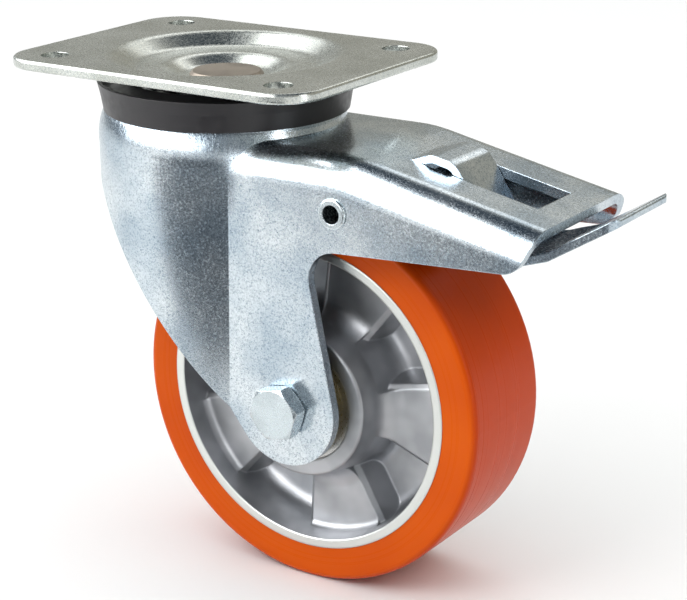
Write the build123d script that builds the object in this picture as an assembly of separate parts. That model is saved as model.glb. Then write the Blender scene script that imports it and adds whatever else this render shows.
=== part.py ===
from build123d import *
import math
import os

# Swivel castor with a total-lock foot brake, 150 mm wheel on a 140 x 110 mm plate.
# Millimetres. The origin is on the mounting face, on the swivel axis. +Z is up,
# +X is the trailing side, where the brake arm and the wheel axle lie.

# Overall
WHEEL_D = 150.0
HEAD_ROOM = 50.0            # mounting face to the top of the tyre
TRAIL = 52.0                # swivel axis to wheel axle
TREAD_W = 50.0
RUN_GAP = 0.3               # clearance between pieces that move on each other
BALL_GAP = 0.2              # clearance all round a bearing ball
FIT = 0.05                  # radial clearance of a pin in its bore

# Top plate
PLATE_L = 140.0
PLATE_W = 110.0
PLATE_T = 4.0
PLATE_CORNER_R = 17.0
PLATE_EDGE_R = 1.1
HOLE_L = 105.0              # hole spacing along X
HOLE_W = 80.0               # hole spacing along Y
HOLE_D = 11.0
DISH_R = 45.0               # pressed dish: its mouth, floor and centre cup
DISH_FLOOR_R = 36.0
DISH_DEPTH = 5.0
CUP_R = 24.0
CUP_FLOOR_R = 17.0
CUP_DEPTH = 9.0
DISH_BEND_R = 7.0
DISH_MARGIN = 8.0           # flat ring outside the dish, drawn with its section

# Swivel head
CROWN_TOP_Z = -15.0         # top of the fork crown, where the upper balls run
NECK_R = 45.0               # upstanding crown rim inside the seal
COLLAR_STEP = 1.2           # ledge of the crown round the neck, which carries the seal
COLLAR_TOP_Z = -21.0
BALL_D = 8.0
GROOVE_DEPTH = 1.0
UPPER_PITCH_R = 32.0
UPPER_BALLS = 18
LOWER_PITCH_R = 21.5
LOWER_BALLS = 12
CROWN_BORE_R = 14.5
PIN_D = 16.0
PIN_HEAD_R = 14.5
PIN_HEAD_H = 1.9
PIN_CHAMFER = 1.2
PIN_TAIL = 2.0              # thread that shows past the nut
SLEEVE_R = 11.5
LOWER_RACE_R = 27.0
LOWER_RACE_T = 6.0
LOCK_RING_R = 36.0
LOCK_RING_T = 4.0
LOCK_NOTCHES = 24
LOCK_NOTCH_DEPTH = 7.0
LOCK_NOTCH_W = 5.0
PIN_NUT_AF = 24.0
PIN_NUT_H = 8.0
SEAL_WALL = 3.15            # the seal's wall at its foot
SEAL_SPREAD = 2.3           # how much wider the seal is at its top than at its foot
SEAL_TOP_Z = -9.4
SEAL_LIP_T = 1.6
SEAL_FLARE = 1.2            # how far the seal's wall opens over its upper part
SEAL_WAIST_Z = -14.4        # where the seal's outside starts to flare
SEAL_LIP_R = 40.0           # inner edge of the lip that follows the plate's underside
SEAL_LIP_Z = -8.8

# Fork, one pressing with the brake arm
SHEET = 4.0
FORK_HALF_W = 39.0          # outer face of a flat side
ARM_TOP_Z = -25.0
ARM_BEND_R = 12.0           # long bend between the arm's top and its sides
SKIRT_X = -1.6              # axis of the round front skirt
SKIRT_R = 49.1
SKIRT_BREAK_Z = -34.0       # crease under the rounded shoulder
SKIRT_SHOULDER_IN = 2.1
SKIRT_SHOULDER_R = 26.0
SKIRT_DRAFT = 1.4           # how much the skirt narrows down to the axle
HEM_FRONT_Z = -40.0
HEM_X = -32.0               # where the hem turns into the straight leading edge
HEM_Z = -53.0
HEM_BEND_R = 30.0
LEG_END_R = 22.5
NOTCH_X = 64.6              # back edge of the leg, under the arm
NOTCH_Z = -76.0
NOTCH_R = 12.0
ARM_LOW_Z = -60.4           # lower edge of the arm's side at the leg
ARM_LOW_END_X = 149.6
ARM_LOW_END_Z = -55.7
ARM_SLOPE_X = 76.5          # where the arm's top starts to fall
ARM_END_X = 155.0
ARM_END_Z = -41.2
ARM_SLOPE_R = 60.0
ARM_CHIN_R = 9.0            # rounded lower corner of the arm's end
SLOT_X = 96.0               # root of the tongue cut from the arm's top
SLOT_END_X = 144.0
SLOT_HALF_W = 12.7
SLOT_CUT = 0.4              # width of the shear cut beside the tongue
TONGUE_ROOT = 4.0           # the tongue starts to rise this far before the cut
TONGUE_RISE = 4.6           # crest of the tongue above the arm
TONGUE_CREST = 8.0          # first and last point of the flat crest, from the cut's root
TONGUE_NOSE = 13.0
TONGUE_FALL = 12.5
TONGUE_L = 25.0
TONGUE_T = 3.0
TONGUE_BEND_R = 6.0

# Brake
PIVOT_X = 74.6
PIVOT_Z = -45.0
RIVET_R = 4.75
RIVET_BORE_R = 3.6
RIVET_FLANGE_R = 5.9
RIVET_FLANGE_T = 1.1
BRAKE_ANGLE = 6.0           # pedal travel in degrees
LEVER_T = 3.0
LEVER_GAP = 0.6             # between a cheek of the lever and the leg beside it
LEVER_WIDE_X = (64.0, 88.0) # the lever is as wide as the fork between these
LEVER_NECK_X = (110.0, 136.0)
LEVER_NECK_HALF_W = 20.0    # waist over the tyre
PEDAL_HALF_W = 22.4
PEDAL_TIP_X = 177.5
PEDAL_TIP_Z = -37.6
PEDAL_BEND_X = 152.5
PEDAL_BEND_Z = -53.0
PEDAL_ROOT_X = 140.0
PEDAL_ROOT_Z = -57.0
PEDAL_CORNER_R = 5.0
EAR_R = 7.2
LOCK_TOOTH_X = 32.0
LOCK_TOOTH_T = 3.2
LOCK_TONGUE_HALF_W = 13.0
LOCK_TONGUE_END_X = 27.0
LOCK_TONGUE_BEND_X = 56.0
HUMP_X = 2.0                # crest of the lever behind its pivot
LEVER_BEND_R = 5.0
CHEEK_DROP = 5.0            # how far the cheeks hang below the web
SHOE_T = 4.0
SHOE_GAP = 0.6              # left between shoe and tread with the pedal down
SHOE_HALF_W = 20.0
SHOE_ANGLE = 64.0           # direction of the shoe's middle from the axle
SHOE_SPAN = 13.0            # half of the shoe's arc, along it
SHOE_SHARE = 0.8            # the shoe covers this share of the lever's seat
SHOE_RIVET_SINK = 0.5       # the rivets end this far inside the shoe's worn face
SHOE_RIVET_R = 3.0
SHOE_RIVET_HEAD_R = 4.6
SHOE_RIVET_HEAD_T = 1.8
SHOE_RIVET_Y = 11.0
SPRING_T = 1.2
SPRING_HALF_W = 8.0
SPRING_FOOT = (0.9, 0.6)    # the foot's ends, as shares of the lever's flat from shoe to pedal

# Wheel
TYRE_T = 13.7               # radial thickness of the tyre
TYRE_EDGE_R = 3.0
RIM_T = 3.6
RIM_PROUD = 0.3             # the machined rim ring stands past the tyre's side
RIM_DRAFT = 1.6             # how far the rim's inner wall leans in down to the web
WEB_T = 8.0
FACE_IN = 10.0              # spoke faces lie this far inside the rim's edge
FACE_BLEND_R = 9.0          # round blend of the spoke faces into the hub
SPOKES = 5
SPOKE_ANGLE = 33.0
SPOKE_PHASE = -4.6
SPOKE_DRAFT = 18.0          # slope of a spoke's sides
SPOKE_EDGE = 1.6            # height of the round along a spoke's edges, made as two slopes
SPOKE_EDGE_SLOPE = 50.0
POCKET_BLEND_R = 3.0        # round bottom edge of a pocket
HUB_L = 60.0
HUB_R = 29.5
HUB_DRAFT = 2.5
HUB_EDGE_R = 1.0
HUB_SKIN = 0.3              # the pockets stop this short of the hub's wall
HUB_BORE_R = 17.0
BEARING_D = 47.0
BEARING_BORE = 20.0
BEARING_W = 14.0
BEARING_IN = 1.0            # bearing face behind the hub face
RING_T = 3.4                # radial thickness of a bearing ring
BEARING_BALL_D = 7.9
BEARING_BALLS = 8
SHIELD_T = 0.9
SHIELD_IN = 0.4             # shield behind the bearing's face

# Axle
BOLT_D = 12.0
BOLT_AF = 19.0
BOLT_HEAD_H = 7.5
NUT_H = 10.8
WASHER_R = 12.0
WASHER_T = 2.5
BOLT_PLAY = 0.25            # radial play of the bolt in the legs and the washer
TUBE_PLAY = 0.1             # radial play of the bolt in the axle tube
BOLT_TAIL = 3.5
BOLT_CHAMFER = 1.2
BOLT_TURN = 12.0            # how far the bolt's head happens to be turned
BOLT_SEAT_T = 0.6           # round seat under the bolt's head
SPACER_FLANGE_R = 21.0
SPACER_FLANGE_T = 1.5
SPACER_BOSS_R = 13.6

# Worked out
HEIGHT = HEAD_ROOM + WHEEL_D
COLLAR_R = NECK_R + COLLAR_STEP
SEAL_FOOT_R = NECK_R + FIT + SEAL_WALL
SEAL_TOP_R = SEAL_FOOT_R + SEAL_SPREAD
LEVER_HALF_W = FORK_HALF_W - SHEET - LEVER_GAP
AXLE_Z = WHEEL_D / 2 - HEIGHT
FORK_IN_W = FORK_HALF_W - SHEET
TYRE_IN_R = WHEEL_D / 2 - TYRE_T
RIM_IN_R = TYRE_IN_R - RIM_T
RIM_HALF_W = TREAD_W / 2 + RIM_PROUD
DISH_UNDER_Z = -DISH_DEPTH - PLATE_T
CUP_UNDER_Z = -CUP_DEPTH - PLATE_T
CROWN_UNDER_Z = CROWN_TOP_Z - SHEET
BALL_R = BALL_D / 2
UPPER_BALL_Z = (DISH_UNDER_Z + CROWN_TOP_Z) / 2
LOWER_BALL_Z = CROWN_UNDER_Z - BALL_R + GROOVE_DEPTH
LOWER_RACE_Z = LOWER_BALL_Z - BALL_R + GROOVE_DEPTH
LOCK_RING_Z = LOWER_RACE_Z - LOWER_RACE_T
PIN_NUT_Z = LOCK_RING_Z - LOCK_RING_T
ARM_FALL = math.degrees(math.atan2(ARM_TOP_Z - ARM_END_Z, ARM_END_X - ARM_SLOPE_X))
BEARING_FACE = HUB_L / 2 - BEARING_IN
BEARING_PITCH_R = (BEARING_D + BEARING_BORE) / 4


def side_plane(y):
    """Sketch plane parallel to XZ at the given y: local x is X and local y is Z."""
    return Plane(origin=(0, y, 0), x_dir=(1, 0, 0), z_dir=(0, -1, 0))


def slab(outline, half_width):
    """A closed XZ outline extruded to both sides of the middle plane."""
    face = side_plane(0) * make_face(outline)
    return extrude(face, amount=half_width, both=True)


def turned(outline, x=0.0):
    """A closed (radius, z) outline turned about the vertical axis at x."""
    face = Plane.XZ * make_face(outline)
    return Pos(x, 0, 0) * revolve(face, Axis.Z)


def turned_about_axle(outline):
    """A closed (radius, y) outline turned about the axle."""
    face = Plane.XY * make_face(outline)
    return Pos(TRAIL, 0, AXLE_Z) * revolve(face, Axis.Y)


def disc(radius, low, high):
    """A plain disc about the Z axis between two heights."""
    return Pos(0, 0, (low + high) / 2) * Cylinder(radius, high - low)


def ring(outer_r, inner_r, low, high):
    """A plain ring about the Z axis between two heights."""
    return disc(outer_r, low, high) - disc(inner_r, low, high)


def cross_cylinder(radius, x, z, y_from, y_to):
    """A cylinder that lies along Y."""
    place = Pos(x, (y_from + y_to) / 2, z) * Rot(90, 0, 0)
    return place * Cylinder(radius, y_to - y_from)


def hex_prism(across_flats, height):
    """A nut or bolt head standing on its base, with both corners' rims turned off."""
    radius = across_flats / math.sqrt(3)
    prism = extrude(RegularPolygon(radius, 6), amount=height)
    slope = (radius - across_flats / 2) * math.tan(math.radians(30))
    cone = [(0, 0), (across_flats / 2, 0), (radius, slope), (radius, height - slope)]
    cone += [(across_flats / 2, height), (0, height)]
    return prism & turned(Polyline(*cone, close=True))


def ball_ring(ball_d, pitch_r, count, z):
    """Bearing balls spaced round the Z axis."""
    ball = Sphere(ball_d / 2)
    return [Rot(0, 0, 360 / count * i) * Pos(pitch_r, 0, z) * ball for i in range(count)]


def ball_groove(ball_d, pitch_r, z):
    """The torus that a row of balls runs in, with its clearance."""
    return Pos(0, 0, z) * Torus(pitch_r, ball_d / 2)


def dish_outline():
    """Half section of the dished middle of the plate, with an even sheet thickness."""
    edge = DISH_R + DISH_MARGIN
    dish_shift = PLATE_T * math.tan(math.atan2(DISH_DEPTH, DISH_R - DISH_FLOOR_R) / 2)
    cup_shift = PLATE_T * math.tan(math.atan2(CUP_DEPTH - DISH_DEPTH, CUP_R - CUP_FLOOR_R) / 2)
    top = [(edge, 0), (DISH_R, 0), (DISH_FLOOR_R, -DISH_DEPTH)]
    top += [(CUP_R, -DISH_DEPTH), (CUP_FLOOR_R, -CUP_DEPTH), (0, -CUP_DEPTH)]
    under = [(0, CUP_UNDER_Z), (CUP_FLOOR_R + cup_shift, CUP_UNDER_Z)]
    under += [(CUP_R + cup_shift, DISH_UNDER_Z), (DISH_FLOOR_R + dish_shift, DISH_UNDER_Z)]
    under += [(DISH_R + dish_shift, -PLATE_T), (edge, -PLATE_T)]
    face = make_face(Polyline(*top, *under, close=True))
    bends = [v for v in face.vertices() if 1 < v.X < edge - 1]
    return fillet(bends, DISH_BEND_R)


def make_top_plate():
    """Pressed mounting plate: rounded corners, four holes and the dished bearing seat."""
    sheet = extrude(RectangleRounded(PLATE_L, PLATE_W, PLATE_CORNER_R), amount=-PLATE_T)
    rims = sheet.edges().group_by(Axis.Z)
    sheet = fillet(rims[0] + rims[-1], PLATE_EDGE_R)
    sheet -= Cylinder(DISH_R + DISH_MARGIN, PLATE_T * 4)
    sheet += revolve(Plane.XZ * dish_outline(), Axis.Z)
    for x in (-HOLE_L / 2, HOLE_L / 2):
        for y in (-HOLE_W / 2, HOLE_W / 2):
            sheet -= Pos(x, y, 0) * Cylinder(HOLE_D / 2, PLATE_T * 4)
    sheet -= ball_groove(BALL_D, UPPER_PITCH_R, UPPER_BALL_Z)
    sheet -= Cylinder(PIN_D / 2 + FIT, PLATE_T * 20)
    return sheet


def make_king_pin():
    """Riveted-head pin that holds the swivel head together."""
    tail_z = PIN_NUT_Z - PIN_NUT_H - PIN_TAIL
    head_top = -CUP_DEPTH + PIN_HEAD_H
    r = PIN_D / 2
    outline = [(0, head_top), (PIN_HEAD_R - PIN_CHAMFER, head_top), (PIN_HEAD_R, head_top - PIN_CHAMFER)]
    outline += [(PIN_HEAD_R, -CUP_DEPTH), (r, -CUP_DEPTH), (r, tail_z + PIN_CHAMFER)]
    outline += [(r - PIN_CHAMFER, tail_z), (0, tail_z)]
    return turned(Polyline(*outline, close=True))


def make_pin_sleeve():
    """Distance sleeve that sets the play of the swivel head."""
    return ring(SLEEVE_R, PIN_D / 2 + FIT, LOWER_RACE_Z, CUP_UNDER_Z)


def make_lower_race():
    """Hardened race under the crown, clamped on the pin."""
    body = ring(LOWER_RACE_R, PIN_D / 2 + FIT, LOCK_RING_Z, LOWER_RACE_Z)
    body -= ball_groove(BALL_D, LOWER_PITCH_R, LOWER_BALL_Z)
    return chamfer(body.edges().group_by(Axis.Z)[0].sort_by(SortBy.LENGTH)[-1], LOWER_RACE_T / 4)


def make_lock_ring():
    """Notched ring that the brake lever's tooth locks into."""
    body = ring(LOCK_RING_R, PIN_D / 2 + FIT, PIN_NUT_Z, LOCK_RING_Z)
    notch = Box(LOCK_NOTCH_DEPTH * 2, LOCK_NOTCH_W, LOCK_RING_T * 2)
    for i in range(LOCK_NOTCHES):
        place = Rot(0, 0, 360 / LOCK_NOTCHES * i) * Pos(LOCK_RING_R, 0, (PIN_NUT_Z + LOCK_RING_Z) / 2)
        body -= place * notch
    return body


def make_king_nut():
    """Nut that clamps the swivel head."""
    nut = Pos(0, 0, PIN_NUT_Z - PIN_NUT_H) * hex_prism(PIN_NUT_AF, PIN_NUT_H)
    return nut - Cylinder(PIN_D / 2 + FIT, HEIGHT)


def make_seal_ring():
    """Dust seal on the crown's rim, with a flared wall and a lip under the plate."""
    bore = NECK_R + FIT
    lip_in = SEAL_TOP_R - SEAL_LIP_T
    outside = [(bore, COLLAR_TOP_Z), (SEAL_FOOT_R, COLLAR_TOP_Z), (SEAL_TOP_R - SEAL_FLARE, SEAL_WAIST_Z)]
    outside += [(SEAL_TOP_R, SEAL_TOP_Z), (lip_in, SEAL_TOP_Z)]
    outside += [(lip_in - SEAL_FLARE, SEAL_WAIST_Z + SEAL_LIP_T)]
    lip = [(SEAL_LIP_R, SEAL_LIP_Z), (SEAL_LIP_R, SEAL_LIP_Z - SEAL_LIP_T), (bore, SEAL_WAIST_Z)]
    return turned(Polyline(*outside, *lip, close=True))


def arm_top_line(inset):
    """Top line of the fork from the crown to past the arm's end, lowered by the inset."""
    fall = math.tan(math.radians(ARM_FALL))
    shift = inset * math.tan(math.radians(ARM_FALL / 2))
    start = (SKIRT_X, ARM_TOP_Z - inset)
    corner = (ARM_SLOPE_X - shift, ARM_TOP_Z - inset)
    run = SHEET * 6 + ARM_END_X - corner[0]
    end = (corner[0] + run, corner[1] - run * fall)
    return start, corner, end


def channel(inset):
    """Solid of the arm and leg channel, drawn in from the outside by the inset."""
    start, corner, end = arm_top_line(inset)
    outline = Polyline(start, corner, end, (end[0], -HEIGHT), (start[0], -HEIGHT), close=True)
    face = make_face(outline)
    knee = face.vertices().sort_by_distance((corner[0], corner[1], 0))[0]
    face = fillet(knee, ARM_SLOPE_R)
    body = extrude(side_plane(0) * face, amount=FORK_HALF_W - inset, both=True)
    along = [e for e in body.edges() if abs(e.tangent_at(0.5).X) > 0.5 and e.center().Z > -HEIGHT / 2]
    return fillet(along, ARM_BEND_R - inset)


def skirt(inset):
    """Round front skirt with its shoulder, drawn in from the outside by the inset."""
    top_r = SKIRT_R - SKIRT_SHOULDER_IN - inset
    wide_r = SKIRT_R - inset
    top_z = COLLAR_TOP_Z - inset
    break_z = SKIRT_BREAK_Z - inset / 2
    shoulder = RadiusArc((top_r, top_z), (wide_r, break_z), SKIRT_SHOULDER_R - inset)
    below = [(wide_r, break_z), (wide_r - SKIRT_DRAFT, -HEIGHT), (0, -HEIGHT), (0, top_z), (top_r, top_z)]
    return turned([shoulder, Polyline(*below)], SKIRT_X)


def fork_side_outline():
    """Side view of the pressing: hem, leg, notch under the arm and the arm's end."""
    to_axle = math.atan2(AXLE_Z - HEM_Z, TRAIL - HEM_X)
    reach = math.hypot(AXLE_Z - HEM_Z, TRAIL - HEM_X)
    lead = to_axle - math.asin(LEG_END_R / reach)
    lead_x = TRAIL + LEG_END_R * math.sin(lead)
    lead_z = AXLE_Z - LEG_END_R * math.cos(lead)
    back = math.atan2(NOTCH_Z - AXLE_Z, NOTCH_X - TRAIL)
    span = math.hypot(NOTCH_Z - AXLE_Z, NOTCH_X - TRAIL)
    turn = back - math.acos(LEG_END_R / span)
    back_x = TRAIL + LEG_END_R * math.cos(turn)
    back_z = AXLE_Z + LEG_END_R * math.sin(turn)
    low = (turn + lead - math.pi / 2) / 2
    lowest = (TRAIL + LEG_END_R * math.cos(low), AXLE_Z + LEG_END_R * math.sin(low))
    foot = ThreePointArc((lead_x, lead_z), lowest, (back_x, back_z))
    slope = (NOTCH_X - back_x) / (NOTCH_Z - back_z)
    corner = (NOTCH_X + slope * (ARM_LOW_Z - NOTCH_Z), ARM_LOW_Z)
    lean = math.radians(ARM_FALL)
    end_low = (ARM_END_X - SHEET * math.sin(lean), ARM_END_Z - SHEET * math.cos(lean))
    arm_end = [(back_x, back_z), corner, (ARM_LOW_END_X, ARM_LOW_END_Z), end_low, (ARM_END_X, ARM_END_Z)]
    front = [(ARM_END_X, 0), (-HEIGHT / 2, 0), (-HEIGHT / 2, HEM_FRONT_Z), (-SKIRT_R, HEM_FRONT_Z)]
    edge = Polyline(*arm_end, *front, (HEM_X, HEM_Z), (lead_x, lead_z))
    face = make_face([foot, edge])
    notch = face.vertices().sort_by_distance((corner[0], corner[1], 0))[0]
    face = fillet(notch, NOTCH_R)
    chin = face.vertices().sort_by_distance((ARM_LOW_END_X, ARM_LOW_END_Z, 0))[0]
    face = fillet(chin, ARM_CHIN_R)
    hem = face.vertices().sort_by_distance((HEM_X, HEM_Z, 0))[0]
    return fillet(hem, HEM_BEND_R)


def arm_height(x):
    """Height of the arm's top face on its sloping part."""
    return ARM_TOP_Z - (x - ARM_SLOPE_X) * math.tan(math.radians(ARM_FALL))


def make_tongue():
    """Tongue lanced from the arm's top: it arches up, then dives through the window."""
    rest = -TONGUE_T / 2
    crest = TONGUE_RISE + rest
    steps = [(-TONGUE_ROOT * 2, rest), (-TONGUE_ROOT, rest), (TONGUE_CREST / 2, crest), (TONGUE_NOSE, crest)]
    steps += [(TONGUE_L, -TONGUE_FALL)]
    path = [(SLOT_X + along, arm_height(SLOT_X + along) + rise) for along, rise in steps]
    face = sheet_along(path, TONGUE_T, TONGUE_BEND_R)
    return extrude(side_plane(0) * face, amount=SLOT_HALF_W - SLOT_CUT, both=True)


def make_fork():
    """Fork pressed from one sheet: crown, round skirt, two legs and the brake arm."""
    outside = channel(0) + skirt(0)
    outside += disc(COLLAR_R, SKIRT_BREAK_Z, COLLAR_TOP_Z)
    outside += disc(NECK_R, SKIRT_BREAK_Z, CROWN_TOP_Z)
    inside = channel(SHEET) + skirt(SHEET)
    inside += disc(COLLAR_R - SHEET, SKIRT_BREAK_Z - SHEET, COLLAR_TOP_Z - SHEET)
    inside += disc(NECK_R - SHEET, SKIRT_BREAK_Z, CROWN_UNDER_Z)
    shell = outside - inside
    shell &= extrude(side_plane(0) * fork_side_outline(), amount=HEIGHT / 2, both=True)
    shell -= Pos(0, 0, CROWN_TOP_Z) * Cylinder(CROWN_BORE_R, SHEET * 4)
    shell -= ball_groove(BALL_D, UPPER_PITCH_R, UPPER_BALL_Z)
    shell -= ball_groove(BALL_D, LOWER_PITCH_R, LOWER_BALL_Z)
    shell -= cross_cylinder(RIVET_R + FIT, PIVOT_X, PIVOT_Z, -FORK_HALF_W * 2, FORK_HALF_W * 2)
    shell -= cross_cylinder(BOLT_D / 2 + BOLT_PLAY, TRAIL, AXLE_Z, -FORK_HALF_W * 2, FORK_HALF_W * 2)
    window_z = arm_height((SLOT_X + SLOT_END_X) / 2)
    window = Box(SLOT_END_X - SLOT_X, SLOT_HALF_W * 2, SHEET * 5)
    shell -= Pos((SLOT_X + SLOT_END_X) / 2, 0, window_z) * window
    return shell + make_tongue()


def make_pivot_rivet():
    """Tube rivet across the fork that the brake lever turns on, flared at both ends."""
    half = FORK_HALF_W + RIVET_FLANGE_T
    tube = cross_cylinder(RIVET_R, PIVOT_X, PIVOT_Z, -half, half)
    for side in (-1, 1):
        ends = sorted((side * FORK_HALF_W, side * half))
        flange = cross_cylinder(RIVET_FLANGE_R, PIVOT_X, PIVOT_Z, ends[0], ends[1])
        outer = flange.edges().filter_by(GeomType.CIRCLE).sort_by(Axis.Y)[-1 if side > 0 else 0]
        tube += fillet(outer, RIVET_FLANGE_T * 0.8)
    return tube - cross_cylinder(RIVET_BORE_R, PIVOT_X, PIVOT_Z, -half * 2, half * 2)


def braked_axle():
    """Where the axle lies, seen from the lever, once the pedal is down."""
    turn = math.radians(-BRAKE_ANGLE)
    dx = TRAIL - PIVOT_X
    dz = AXLE_Z - PIVOT_Z
    x = PIVOT_X + dx * math.cos(turn) + dz * math.sin(turn)
    z = PIVOT_Z - dx * math.sin(turn) + dz * math.cos(turn)
    return x, z


def from_braked_axle(radius, angle):
    """A point at a radius and an angle in degrees from the braked axle."""
    x, z = braked_axle()
    a = math.radians(angle)
    return x + radius * math.cos(a), z + radius * math.sin(a)


def lever_path():
    """Middle line of the lever's sheet from the locking end to the pedal's tip."""
    seat_r = WHEEL_D / 2 + SHOE_GAP + SHOE_T + LEVER_T / 2
    seat = from_braked_axle(seat_r, SHOE_ANGLE)
    along = math.radians(SHOE_ANGLE - 90)
    low = (seat[0] + SHOE_SPAN * math.cos(along), seat[1] + SHOE_SPAN * math.sin(along))
    high = (seat[0] - SHOE_SPAN * math.cos(along), seat[1] - SHOE_SPAN * math.sin(along))
    lift = (PIVOT_X - LOCK_TOOTH_X) * math.sin(math.radians(BRAKE_ANGLE))
    lock_z = PIN_NUT_Z - lift - RUN_GAP * 2 - LEVER_T / 2
    hump = (PIVOT_X + HUMP_X, PIVOT_Z + EAR_R - LEVER_T / 2 + RUN_GAP)
    before = [(LOCK_TONGUE_END_X, lock_z), (LOCK_TONGUE_BEND_X, lock_z + RUN_GAP), hump, high, low]
    pedal = [(PEDAL_ROOT_X, PEDAL_ROOT_Z), (PEDAL_BEND_X, PEDAL_BEND_Z), (PEDAL_TIP_X, PEDAL_TIP_Z)]
    return before + pedal


def sheet_along(points, thickness, bend_r):
    """A closed outline of even thickness along a bent line, in XZ."""
    line = FilletPolyline(*points, radius=bend_r)
    return make_face(offset(line, thickness / 2, kind=Kind.INTERSECTION, side=Side.BOTH))


def lever_plan():
    """Top view of the lever: narrow locking end, wide middle and narrower pedal."""
    widen = LEVER_HALF_W - LOCK_TONGUE_HALF_W
    near = [(LOCK_TONGUE_END_X - LEVER_T, -LOCK_TONGUE_HALF_W)]
    near += [(LEVER_WIDE_X[0] - widen / 2, -LOCK_TONGUE_HALF_W), (LEVER_WIDE_X[0], -LEVER_HALF_W)]
    near += [(LEVER_WIDE_X[1], -LEVER_HALF_W), (LEVER_NECK_X[0], -LEVER_NECK_HALF_W)]
    near += [(LEVER_NECK_X[1], -LEVER_NECK_HALF_W), (PEDAL_ROOT_X + LEVER_T, -PEDAL_HALF_W)]
    near += [(PEDAL_TIP_X + LEVER_T * 0.4, -PEDAL_HALF_W)]
    far = [(x, -y) for x, y in reversed(near)]
    face = make_face(Polyline(*near, *far, close=True))
    return fillet(face.vertices().group_by(Axis.X)[-1], PEDAL_CORNER_R)


def make_brake_lever():
    """Pressed lever: foot pedal, pivot cheeks and the tongue with the locking teeth."""
    points = lever_path()
    web = extrude(side_plane(0) * sheet_along(points, LEVER_T, LEVER_BEND_R), amount=LEVER_HALF_W, both=True)
    web &= extrude(Pos(0, 0, -HEIGHT) * lever_plan(), amount=HEIGHT)
    hump, high = points[2], points[3]
    cheek = [(PIVOT_X - EAR_R, PIVOT_Z), (PIVOT_X - EAR_R / 2, hump[1]), hump, high]
    cheek += [(high[0], high[1] - CHEEK_DROP), (PIVOT_X + HUMP_X, PIVOT_Z - EAR_R)]
    ears = slab(Polyline(*cheek, close=True), LEVER_HALF_W)
    ears += cross_cylinder(EAR_R, PIVOT_X, PIVOT_Z, -LEVER_HALF_W, LEVER_HALF_W)
    ears -= Box(HEIGHT * 2, (LEVER_HALF_W - LEVER_T) * 2, HEIGHT * 2)
    lever = web + ears
    lock_z = points[0][1] + LEVER_T / 2
    tooth_h = PIN_NUT_Z - RUN_GAP * 2 - lock_z
    sunk = LEVER_T / 3
    tooth = Box(LOCK_TOOTH_T, LOCK_NOTCH_W - 4 * RUN_GAP, tooth_h + sunk)
    for i in (-1, 0, 1):
        turn = 360 / LOCK_NOTCHES * i
        lever += Rot(0, 0, turn) * Pos(LOCK_TOOTH_X, 0, lock_z + (tooth_h - sunk) / 2) * tooth
    lever -= cross_cylinder(RIVET_R + FIT, PIVOT_X, PIVOT_Z, -HEIGHT, HEIGHT)
    return lever - shoe_rivet_holes()


def shoe_rivet_place(y):
    """Frame of a shoe rivet: its z axis points away from the axle."""
    x, z = from_braked_axle(WHEEL_D / 2 + SHOE_GAP, SHOE_ANGLE)
    return Pos(x, y, z) * Rot(0, 90 - SHOE_ANGLE, 0)


def shoe_rivet_holes():
    """Holes for the two rivets through shoe and lever."""
    bores = [shoe_rivet_place(y) * Cylinder(SHOE_RIVET_R, SHOE_T * 5) for y in (-SHOE_RIVET_Y, SHOE_RIVET_Y)]
    return bores[0] + bores[1]


def make_brake_shoe():
    """Curved steel shoe under the lever that presses on the tread."""
    contact_r = WHEEL_D / 2 + SHOE_GAP
    half_angle = math.degrees(SHOE_SPAN / contact_r) * SHOE_SHARE
    arc = []
    for radius in (contact_r, contact_r + SHOE_T):
        ends = [from_braked_axle(radius, SHOE_ANGLE + s * half_angle) for s in (1, 0, -1)]
        arc.append(ThreePointArc(*ends))
    caps = [Line(arc[0] @ 0, arc[1] @ 0), Line(arc[0] @ 1, arc[1] @ 1)]
    shoe = slab(arc + caps, SHOE_HALF_W)
    above = shoe_rivet_place(0) * Pos(0, 0, SHOE_T * 2) * Box(SHOE_HALF_W * 3, SHOE_HALF_W * 3, SHOE_T * 2)
    return shoe - above - shoe_rivet_holes()


def make_shoe_rivets():
    """Two rivets: countersunk flush in the shoe, with a round head on the lever."""
    length = SHOE_T + LEVER_T
    rivets = []
    for y in (-SHOE_RIVET_Y, SHOE_RIVET_Y):
        shank = disc(SHOE_RIVET_R, SHOE_RIVET_SINK, length)
        head = disc(SHOE_RIVET_HEAD_R, length, length + SHOE_RIVET_HEAD_T)
        head = fillet(head.edges().group_by(Axis.Z)[-1], SHOE_RIVET_HEAD_T * 0.8)
        rivets.append(shoe_rivet_place(y) * (shank + head))
    return rivets


def make_brake_spring():
    """Leaf spring: its foot lies on the lever and its free end reaches up under the tongue."""
    points = lever_path()
    low, root = points[4], points[5]
    slope = math.atan2(root[1] - low[1], root[0] - low[0])
    lift = (LEVER_T + SPRING_T) / 2
    foot = []
    for share in SPRING_FOOT:
        x = low[0] + (root[0] - low[0]) * share - lift * math.sin(slope)
        z = low[1] + (root[1] - low[1]) * share + lift * math.cos(slope)
        foot.append((x, z))
    tip_x = SLOT_X + TONGUE_L
    tongue_z = arm_height(tip_x) - TONGUE_FALL
    tip = (tip_x - TONGUE_T, tongue_z - TONGUE_T - SPRING_T)
    face = sheet_along([*foot, tip], SPRING_T, SPRING_T)
    return extrude(side_plane(0) * face, amount=SPRING_HALF_W, both=True)


def make_tyre():
    """Cast polyurethane tyre bonded on the wheel centre."""
    half = TREAD_W / 2
    outline = [(TYRE_IN_R, -half), (WHEEL_D / 2, -half), (WHEEL_D / 2, half), (TYRE_IN_R, half)]
    face = make_face(Polyline(*outline, close=True))
    face = fillet(face.vertices().group_by(Axis.X)[-1], TYRE_EDGE_R)
    return Pos(TRAIL, 0, AXLE_Z) * revolve(Plane.XY * face, Axis.Y)


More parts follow.
